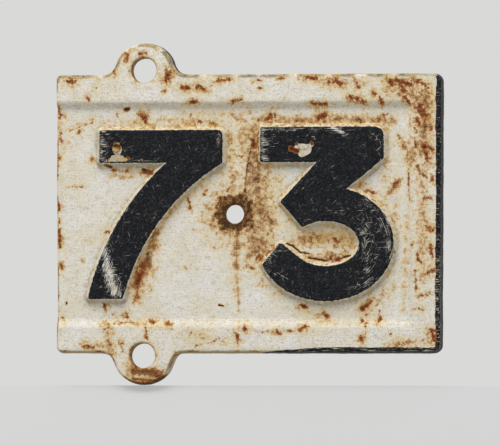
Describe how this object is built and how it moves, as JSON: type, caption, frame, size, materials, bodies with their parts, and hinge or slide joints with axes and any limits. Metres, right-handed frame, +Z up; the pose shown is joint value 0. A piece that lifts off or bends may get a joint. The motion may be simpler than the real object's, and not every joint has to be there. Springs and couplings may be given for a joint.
{
  "type": "railway mile marker",
  "caption": "Cast iron mile plate with a raised rim on three sides, an upper and a lower bolting lug, and riveted raised numerals.",
  "frame": {"origin": "middle of the flat back face, halfway between the side edges and between the two lug holes", "axes": "+X to the right seen from the front, +Z up, the numerals face -Y, the back face lies in the plane Y = 0"},
  "size_m": [0.356, 0.017, 0.3134],
  "materials": {
    "cream_paint": "old cream oil paint on cast iron, stained and flaking to rust",
    "black_paint": "black oil paint on the faces, cream on the sloped sides, scratched",
    "rivet_iron": "hammered iron, painted over and rusting"
  },
  "bodies": {
    "root": {"plate": "cream_paint", "numeral_seven": "black_paint", "numeral_three": "black_paint", "rivet_seven_upper": "rivet_iron", "rivet_seven_lower": "rivet_iron", "rivet_three_upper": "rivet_iron", "rivet_three_lower": "rivet_iron"}
  },
  "joints": []
}
